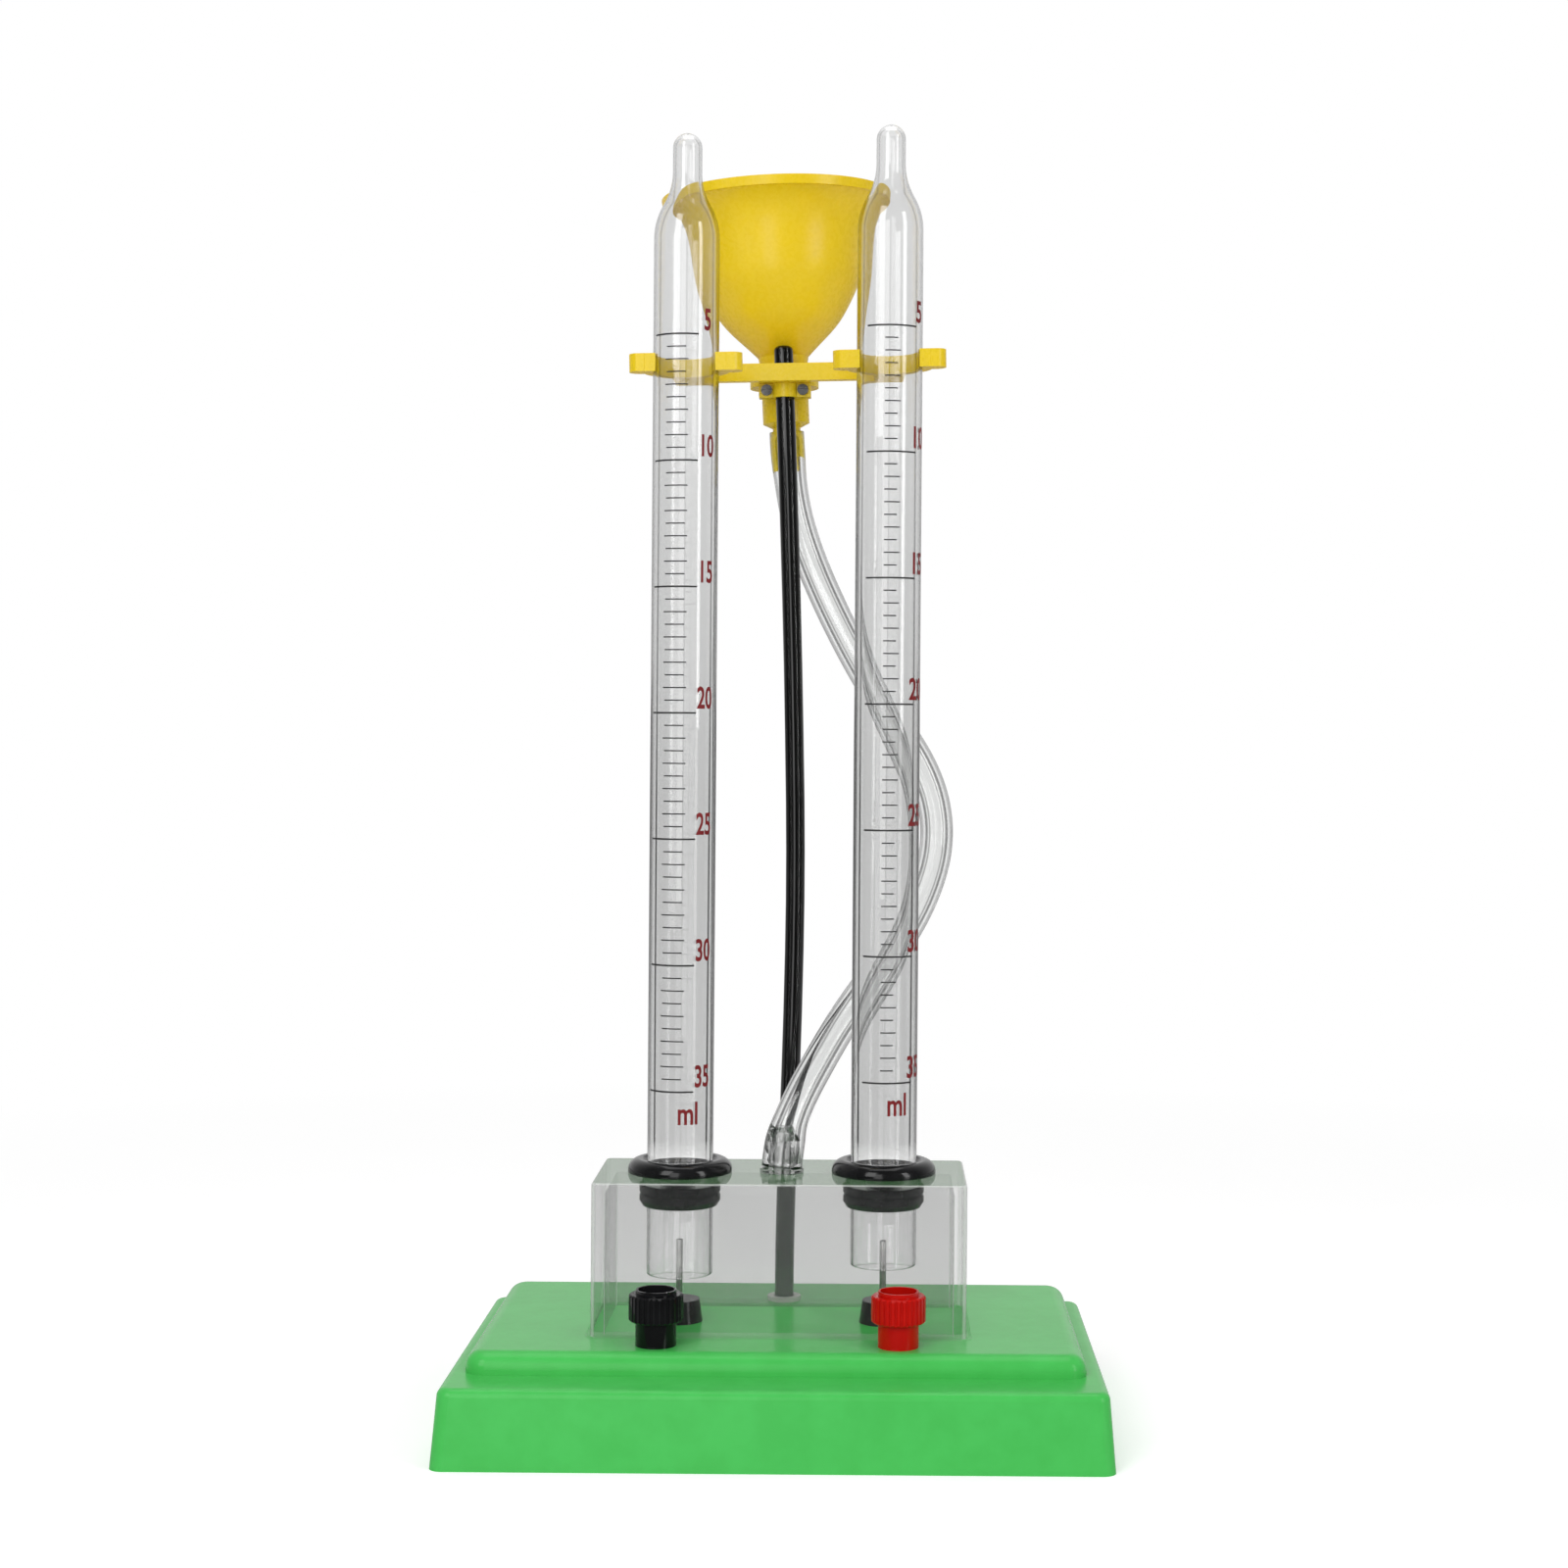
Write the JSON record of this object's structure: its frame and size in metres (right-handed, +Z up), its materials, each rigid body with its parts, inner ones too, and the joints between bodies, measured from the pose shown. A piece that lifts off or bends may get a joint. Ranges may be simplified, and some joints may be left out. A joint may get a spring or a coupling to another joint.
{
  "type": "water electrolysis apparatus",
  "caption": "Classroom water-electrolysis apparatus: graduated gas tubes over a clear tank on a plinth, funnel, rod, hose and binding posts.",
  "frame": {"origin": "centre of the plan outline without the hose, on the surface that the base stands on", "axes": "+Z up along the tubes, -Y to the front where the binding posts stand, +X to the red post"},
  "size_m": [0.1562, 0.1148, 0.3172],
  "materials": {
    "green_plastic": "smooth moulded gloss",
    "clear_acrylic": "clear polished",
    "cement": "clear solvent bead",
    "tube_glass": "clear with printed scale",
    "black_rubber": "satin black",
    "steel": "dull metal",
    "brass": "plain",
    "rod_black": "gloss black sleeve",
    "pale_plastic": "off-white",
    "yellow_plastic": "waxy, slightly translucent",
    "clear_hose": "clear soft tube",
    "clear_barb": "clear moulded",
    "black_gloss": "gloss black",
    "red_gloss": "gloss red"
  },
  "bodies": {
    "root": {"base_shell": "green_plastic", "tank_body": "clear_acrylic", "tank_seal": "cement", "left_grommet": "black_rubber", "right_grommet": "black_rubber", "left_plug": "black_rubber", "right_plug": "black_rubber", "left_electrode": "steel", "right_electrode": "steel", "rod_washer": "steel", "rod_nut": "steel", "strap_screws": "steel", "black_stud": "steel", "red_stud": "steel", "black_post_nut": "steel", "red_post_nut": "steel", "left_terminal": "brass", "right_terminal": "brass", "left_link": "brass", "right_link": "brass", "support_rod": "rod_black", "rod_ferrule": "pale_plastic", "bracket": "yellow_plastic", "rod_strap": "yellow_plastic", "funnel": "yellow_plastic", "hose": "clear_hose", "hose_barb": "clear_barb", "black_collar": "black_gloss", "red_collar": "red_gloss"},
    "left_gas_tube": {"left_tube": "tube_glass"},
    "right_gas_tube": {"right_tube": "tube_glass"},
    "black_thread": {"black_washer": "steel"},
    "black_cap": {"black_knob": "black_gloss"},
    "red_thread": {"red_washer": "steel"},
    "red_cap": {"red_knob": "red_gloss"}
  },
  "joints": [
    {"name": "left_tube_slide", "type": "slide", "parent": "root", "child": "left_gas_tube", "axis": [0, 0, 1], "range_m": [-0.007, 0.235]},
    {"name": "right_tube_slide", "type": "slide", "parent": "root", "child": "right_gas_tube", "axis": [0, 0, 1], "range_m": [-0.009, 0.235]},
    {"name": "black_knob_rise", "type": "slide", "parent": "root", "child": "black_thread", "axis": [0, 0, 1], "range_m": [0, 0.003]},
    {"name": "black_knob_turn", "type": "hinge", "parent": "black_thread", "child": "black_cap", "pos_m": [-0.0286, -0.0319, 0.0289], "axis": [0, 0, 1], "range_deg": [0, 1081]},
    {"name": "red_knob_rise", "type": "slide", "parent": "root", "child": "red_thread", "axis": [0, 0, 1], "range_m": [0, 0.003]},
    {"name": "red_knob_turn", "type": "hinge", "parent": "red_thread", "child": "red_cap", "pos_m": [0.0286, -0.0319, 0.0289], "axis": [0, 0, 1], "range_deg": [0, 1081]}
  ],
  "couplings": [
    {"joint": "black_knob_turn", "follows": "black_knob_rise", "rad_per_m": 6283.2},
    {"joint": "red_knob_turn", "follows": "red_knob_rise", "rad_per_m": 6283.2}
  ]
}
